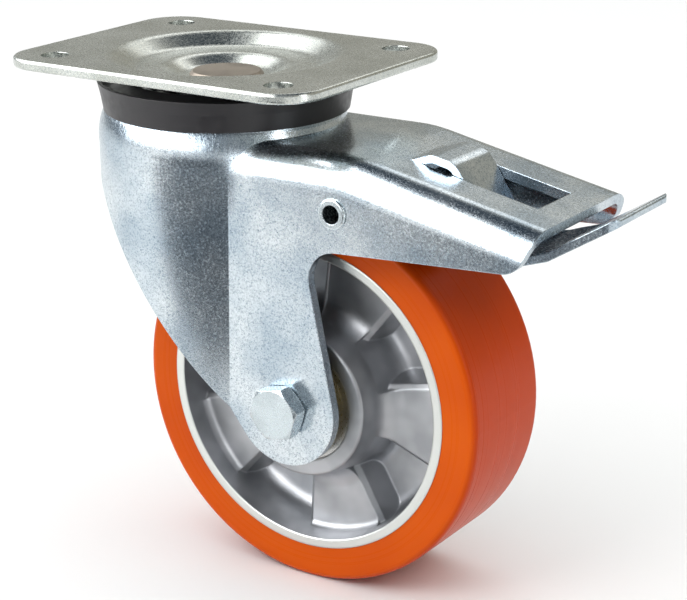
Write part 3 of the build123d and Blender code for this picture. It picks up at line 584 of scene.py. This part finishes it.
# Natural nylon: a milky cream.
NYLON = MouldedPlastic("moulded natural nylon", "#CFCBBB", 0.42)
# Dark seal: near black, with a grey sheen where it turns to the light.
SEAL_PLASTIC = MouldedPlastic("moulded dark plastic seal", "#252326", 0.38)


def smooth(obj: bpy.types.Object, sharp_deg: float) -> None:
    """Shades a mesh smooth over its curves and keeps its real edges sharp.

    Args:
        obj: The object, which gets a modifier that keeps its flat faces flat.
        sharp_deg: Edges that bend more than this stay sharp.
    """
    for polygon in obj.data.polygons:
        polygon.use_smooth = True
    obj.data.set_sharp_from_angle(angle=math.radians(sharp_deg))
    even = obj.modifiers.new("flat faces stay flat", "WEIGHTED_NORMAL")
    even.keep_sharp = True


def new_piece(name: str, made: bmesh.types.BMesh, finish: Finish, body: Body) -> bpy.types.Object:
    """Turns a finished mesh into a piece of the castor.

    Args:
        name: Name of the piece.
        made: Its mesh, in metres in the castor's frame.
        finish: The finish that covers it.
        body: The body it moves with.

    Returns:
        The new object.
    """
    mesh = bpy.data.meshes.new(name)
    made.to_mesh(mesh)
    made.free()
    obj = bpy.data.objects.new(name, mesh)
    bpy.context.scene.collection.objects.link(obj)
    mesh.materials.append(finish.material())
    smooth(obj, SHARP_EDGE_DEG)
    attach(obj, body.value)
    log.info("%s: %s", name, finish.name)
    return obj


def dress(node: str, finish: Finish, sharp_deg: float = SHARP_EDGE_DEG) -> None:
    """Gives a solid of the frame its finish.

    Args:
        node: Name of the frame's node.
        finish: The finish that covers it.
        sharp_deg: Edges that bend more than this stay sharp.
    """
    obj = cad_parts[node]
    obj.data.materials.clear()
    obj.data.materials.append(finish.material())
    smooth(obj, sharp_deg)
    log.info("%s: %s", node, finish.name)


@dataclass(frozen=True)
class ThreadedTail:
    """A pin or bolt of the frame whose tail gets its thread."""

    node: str
    body: Body
    slot: Slot
    axis_mm: Point
    way: Point                          # from the head to the tail
    radius_mm: float
    pitch_mm: float
    from_mm: float                      # along the way, inside the nut
    to_mm: float
    chamfer_mm: float = 1.2
    around: int = 48
    rows_a_turn: int = 14
    root_share: float = 0.25            # flat at the root, as a share of the pitch
    flank_share: float = 0.625
    depth_share: float = 0.61

    def radius(self, along_mm: float, turn: float) -> float:
        """Radius of the thread.

        Args:
            along_mm: Place along the way.
            turn: Share of a full turn about the axis.

        Returns:
            Distance from the axis in millimetres.
        """
        phase = (along_mm / self.pitch_mm - turn) % 1.0
        rise = (abs(2.0 * phase - 1.0) - self.root_share) / self.flank_share
        crest = min(max(rise, 0.0), 1.0)
        thread = self.radius_mm - self.depth_share * self.pitch_mm * (1.0 - crest)
        point = self.radius_mm - max(0.0, along_mm - (self.to_mm - self.chamfer_mm))
        return min(thread, point)

    def build(self, finish: Finish) -> None:
        """Cuts the plain tail off a copy of the solid and sets a threaded one in its place.

        Args:
            finish: The finish that covers it.
        """
        way = Vector(self.way)
        side = way.orthogonal().normalized()
        up = way.cross(side)
        base = Vector(self.axis_mm) - way * way.dot(Vector(self.axis_mm))
        made = bmesh.new()
        made.from_mesh(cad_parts[self.node].data)
        cut = bmesh.ops.bisect_plane(made, geom=made.verts[:] + made.edges[:] + made.faces[:],
                                     plane_co=(base + way * self.from_mm) * MM,
                                     plane_no=way, clear_outer=True)
        rim = [part for part in cut["geom_cut"] if isinstance(part, bmesh.types.BMEdge)]
        bmesh.ops.contextual_create(made, geom=rim)
        length = self.to_mm - self.from_mm
        rows = round(length / self.pitch_mm * self.rows_a_turn)
        rings = []
        for row in range(rows + 1):
            along = self.from_mm + length * row / rows
            ring = []
            for step in range(self.around):
                turn = step / self.around
                out = side * math.cos(turn * math.tau) + up * math.sin(turn * math.tau)
                place = base + way * along + out * self.radius(along, turn)
                ring.append(made.verts.new(place * MM))
            rings.append(ring)
        for low, high in zip(rings, rings[1:]):
            for step in range(self.around):
                after = (step + 1) % self.around
                made.faces.new((low[step], low[after], high[after], high[step]))
        made.faces.new(rings[0][::-1])
        made.faces.new(rings[-1])
        obj = new_piece(f"{self.node}_threaded", made, finish, self.body)
        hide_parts(self.node)


@dataclass(frozen=True)
class MountingHead:
    """Plate, pin, races and lock ring: all that is bolted to the trolley."""

    pressings: tuple[str, ...] = ("top_plate", "lock_ring")
    turned: tuple[str, ...] = ("lower_race", "king_nut", "pin_sleeve")
    balls: tuple[str, ...] = ("upper_balls", "lower_balls")
    pin: ThreadedTail = ThreadedTail("king_pin", Body.HEAD, Slot.TURNED, (0.0, 0.0, 0.0),
                                     (0.0, 0.0, -1.0), radius_mm=8.0, pitch_mm=2.0,
                                     from_mm=42.6, to_mm=45.0)

    def dress(self) -> None:
        """Covers the pieces with their finishes."""
        for node in self.pressings:
            dress(node, PLATE_ZINC)
        for node in self.turned:
            dress(node, HARDWARE_ZINC)
        self.pin.build(PIN_STEEL)
        for node in self.balls:
            dress(node, BEARING_STEEL)


@dataclass(frozen=True)
class ForkAssembly:
    """The pressed fork with its seal and the lever's rivet."""

    def dress(self) -> None:
        """Covers the pieces with their finishes."""
        dress("fork", FORK_ZINC)
        dress("seal_ring", SEAL_PLASTIC)
        dress("pivot_rivet", HARDWARE_ZINC)


@dataclass(frozen=True)
class BrakeAssembly:
    """The lever with its shoe, rivets and spring."""

    def dress(self) -> None:
        """Covers the pieces with their finishes."""
        dress("brake_lever", FORK_ZINC)
        dress("brake_shoe", PLATE_ZINC)
        dress("shoe_rivets", HARDWARE_ZINC)
        dress("brake_spring", SPRING_STEEL)


@dataclass(frozen=True)
class WheelAssembly:
    """Tyre, cast centre and the wheel's two bearings."""

    bearing: tuple[str, ...] = ("bearing_outer_rings", "bearing_shields",
                                "bearing_inner_rings", "bearing_balls")
    cast_edge_deg: float = 50.0     # the two slopes along a spoke's edges shade as one round

    def dress(self) -> None:
        """Covers the pieces with their finishes."""
        dress("tyre", ORANGE_PU)
        dress("wheel_centre", CAST_ALUMINIUM, self.cast_edge_deg)
        for node in self.bearing:
            dress(node, BEARING_STEEL)


@dataclass(frozen=True)
class Axle:
    """Bolt, nut with its nylon insert, washer, tube and spacers."""

    hardware: tuple[str, ...] = ("axle_nut", "nut_washer", "axle_tube")
    bolt: ThreadedTail = ThreadedTail("axle_bolt", Body.FORK, Slot.BOLT,
                                      (AXLE_MM[0], 0.0, AXLE_MM[1]), (0.0, 1.0, 0.0),
                                      radius_mm=6.0, pitch_mm=1.75, from_mm=51.6, to_mm=55.8)
    insert_radii_mm: Pair = (6.1, 8.2)
    insert_ends_mm: Pair = (51.4, 52.7)
    insert_around: int = 64
    # The insert's rounded rims: how far in from its side and down from its end.
    outer_rim_mm: tuple[Pair, ...] = ((0.0, 0.35), (0.12, 0.1), (0.4, 0.0))
    inner_rim_mm: tuple[Pair, ...] = ((0.4, 0.0), (0.1, 0.1), (0.0, 0.35))

    def dress(self) -> None:
        """Covers the pieces with their finishes and adds the bolt's thread and the insert."""
        for node in self.hardware:
            dress(node, HARDWARE_ZINC)
        dress("axle_spacers", SPACER_ZINC)
        self.bolt.build(HARDWARE_ZINC)
        self.build_insert()

    def build_insert(self) -> None:
        """Sets the nylon ring that keeps the nut from turning into the nut's open end."""
        inner, outer = self.insert_radii_mm
        start, stop = self.insert_ends_mm
        outline = [(inner, start), (outer, start)]
        outline += [(outer - across, stop - down) for across, down in self.outer_rim_mm]
        outline += [(inner + across, stop - down) for across, down in self.inner_rim_mm]
        made = bmesh.new()
        rings = []
        for step in range(self.insert_around):
            turn = step / self.insert_around * math.tau
            places = [Vector((AXLE_MM[0] + radius * math.cos(turn), along,
                              AXLE_MM[1] + radius * math.sin(turn))) for radius, along in outline]
            rings.append([made.verts.new(place * MM) for place in places])
        for one, other in zip(rings, rings[1:] + rings[:1]):
            for i in range(len(outline)):
                j = (i + 1) % len(outline)
                made.faces.new((one[i], one[j], other[j], other[i]))
        bmesh.ops.recalc_face_normals(made, faces=made.faces[:])
        new_piece("nut_insert", made, NYLON, Body.FORK)


@dataclass(frozen=True)
class SoftBox:
    """A lit rectangle, never seen by the camera itself."""

    name: str
    place_mm: Point
    aim_mm: Point
    size_m: Pair
    watts: float
    lights_matt: bool = True        # False where it is only there for the steel to mirror
    mirrored: bool = True           # False where it only lights

    def hang(self) -> None:
        """Hangs the light and turns it to its aim."""
        lamp = bpy.data.lights.new(self.name, "AREA")
        lamp.shape = "RECTANGLE"
        lamp.size, lamp.size_y = self.size_m
        lamp.energy = self.watts
        box = bpy.data.objects.new(self.name, lamp)
        bpy.context.scene.collection.objects.link(box)
        box.visible_camera = False
        box.visible_diffuse = self.lights_matt
        box.visible_glossy = self.mirrored
        box.location = Vector(self.place_mm) * MM
        aim = Vector(self.aim_mm) * MM - box.location
        box.rotation_euler = aim.to_track_quat("-Z", "Y").to_euler()
        log.info("%s lit", self.name)


def matt_material(name: str, colour: str, roughness: float) -> bpy.types.Material:
    """Makes a plain matt material for what the studio is built of.

    Args:
        name: Name of the material.
        colour: Its sRGB hex colour.
        roughness: Its roughness.

    Returns:
        The new material.
    """
    made = bpy.data.materials.new(name)
    made.use_nodes = True
    shader = made.node_tree.nodes["Principled BSDF"]
    shader.inputs["Base Color"].default_value = linear(colour)
    shader.inputs["Roughness"].default_value = roughness
    return made


@dataclass(frozen=True)
class Studio:
    """Pale floor, soft boxes and the camera at the photograph's angle."""

    floor_colour: str = "#EDEDEC"
    floor_roughness: float = 0.9
    floor_size_m: float = 30.0
    back_colour: str = "#ADAA9F"        # the grey wall behind the castor
    front_colour: str = "#8E959C"       # the cooler room on the camera's side
    front_way: Point = (-0.50, -0.80, 0.34)
    front_range: Pair = (-0.5, 0.6)     # of the direction's likeness to that way
    roof_colour: str = "#37434E"        # the dark roof, mirrored by the plate's dish
    roof_range: Pair = (0.70, 0.86)     # of the direction's height, from walls to roof
    card_colour: str = "#252C33"
    card_roughness: float = 1.0
    card_mm: Point = (75.0, -655.0, -196.0)
    card_size_mm: Pair = (740.0, 640.0)
    card_turn_deg: float = 36.6
    camera_mm: Point = (457.65, -617.39, 151.66)
    forward: Point = (-0.52364, 0.79309, -0.31113)
    right: Point = (0.83550, 0.54946, -0.00556)
    focal_px: float = 2001.8
    centre_px: Pair = (335.22, 294.755)
    sensor_mm: float = 36.0
    soft_boxes: tuple[SoftBox, ...] = (
        SoftBox("lit ceiling", (0.0, 0.0, 3000.0), (0.0, 0.0, -200.0), (9.0, 9.0), 350.0,
                mirrored=False),
        SoftBox("back strip", (-640.0, 880.0, 880.0), (0.0, 0.0, 0.0), (2.2, 0.40), 3.6,
                lights_matt=False),
        SoftBox("low front box", (-420.0, -1050.0, 235.0), (40.0, 0.0, 40.0), (1.9, 0.46), 10.0,
                lights_matt=False),
        SoftBox("left soft box", (-730.0, -430.0, 830.0), (60.0, 0.0, -20.0), (1.8, 1.45), 32.0,
                lights_matt=False),
        SoftBox("front fill", (-300.0, -1050.0, 700.0), (60.0, 0.0, -60.0), (0.6, 0.6), 4.0),
        SoftBox("right strip", (900.0, -60.0, 150.0), (40.0, 0.0, -90.0), (0.10, 0.8), 1.6,
                lights_matt=False),
    )

    def build(self) -> None:
        """Sets up floor, room, lights, card and camera."""
        self.lay_floor()
        self.colour_room()
        for box in self.soft_boxes:
            box.hang()
        self.lay_card()
        self.place_camera()

    def lay_floor(self) -> None:
        """Lays a large pale floor under the wheel."""
        bpy.ops.mesh.primitive_plane_add(size=self.floor_size_m,
                                         location=(0, 0, SOLIDS_BOX[0][2]))
        floor = bpy.context.object
        floor.name = "floor"
        # Matt paint: it takes a soft shadow and shows no highlight.
        floor.data.materials.append(
            matt_material("matt studio floor", self.floor_colour, self.floor_roughness))
        log.info("floor laid")

    def colour_room(self) -> None:
        """Colours the room round the castor, pale at the back and dark overhead."""
        world = bpy.data.worlds.new("studio room")
        bpy.context.scene.world = world
        world.use_nodes = True
        tree = world.node_tree
        tree.nodes.clear()
        ray = add_node(tree, "ShaderNodeTexCoord").outputs["Generated"]
        facing = add_node(tree, "ShaderNodeVectorMath", {1: Vector(self.front_way).normalized()},
                          {0: ray}, operation="DOT_PRODUCT")
        front = add_node(tree, "ShaderNodeMapRange",
                         {"From Min": self.front_range[0], "From Max": self.front_range[1]},
                         {"Value": facing.outputs["Value"]})
        walls = add_node(tree, "ShaderNodeMix",
                         {6: linear(self.back_colour), 7: linear(self.front_colour)},
                         {0: front.outputs["Result"]}, data_type="RGBA")
        height = add_node(tree, "ShaderNodeSeparateXYZ", links={0: ray}).outputs[2]
        overhead = add_node(tree, "ShaderNodeMapRange",
                            {"From Min": self.roof_range[0], "From Max": self.roof_range[1]},
                            {"Value": height})
        room = add_node(tree, "ShaderNodeMix", {7: linear(self.roof_colour)},
                        {0: overhead.outputs["Result"], 6: walls.outputs[2]}, data_type="RGBA")
        sky = add_node(tree, "ShaderNodeBackground", links={"Color": room.outputs[2]})
        add_node(tree, "ShaderNodeOutputWorld", links={"Surface": sky.outputs["Background"]})
        log.info("room coloured")

    def lay_card(self) -> None:
        """Lays a dark card before the camera: the steel mirrors it, the camera misses it."""
        bpy.ops.mesh.primitive_plane_add(size=1.0, location=Vector(self.card_mm) * MM,
                                         rotation=(0.0, 0.0, math.radians(self.card_turn_deg)))
        card = bpy.context.object
        card.name = "dark card"
        card.scale = (self.card_size_mm[0] * MM, self.card_size_mm[1] * MM, 1.0)
        card.visible_camera = card.visible_shadow = card.visible_diffuse = False
        # Felt: it gives the steel one dark band with an even tone.
        card.data.materials.append(
            matt_material("dark felt card", self.card_colour, self.card_roughness))
        log.info("dark card laid")

    def place_camera(self) -> None:
        """Puts the camera where the photograph was taken from."""
        data = bpy.data.cameras.new("camera")
        data.sensor_width = self.sensor_mm
        data.lens = self.focal_px / PHOTO_WIDTH_PX * self.sensor_mm
        data.shift_x = -(self.centre_px[0] - PHOTO_WIDTH_PX / 2) / PHOTO_WIDTH_PX
        data.shift_y = (self.centre_px[1] - PHOTO_HEIGHT_PX / 2) / PHOTO_WIDTH_PX
        camera = bpy.data.objects.new("camera", data)
        bpy.context.scene.collection.objects.link(camera)
        back = -Vector(self.forward)
        side = Vector(self.right)
        up = back.cross(side)
        turn = Matrix((side, up, back)).transposed().to_4x4()
        camera.matrix_world = Matrix.Translation(Vector(self.camera_mm) * MM) @ turn
        bpy.context.scene.camera = camera
        log.info("camera placed")


def set_colour_view() -> None:
    """Shows colours as they are, without a film curve that would wash out the orange."""
    view = bpy.context.scene.view_settings
    view.view_transform = "Standard"
    view.look = "None"


def main() -> None:
    """Builds the castor's looks from the plate down to the wheel, then the studio."""
    logging.basicConfig(level=logging.INFO, format="%(message)s")
    for part in (MountingHead(), ForkAssembly(), BrakeAssembly(), WheelAssembly(), Axle()):
        part.dress()
        log.info("%s done", type(part).__name__)
    Studio().build()
    set_colour_view()


if __name__ == "__main__":
    main()
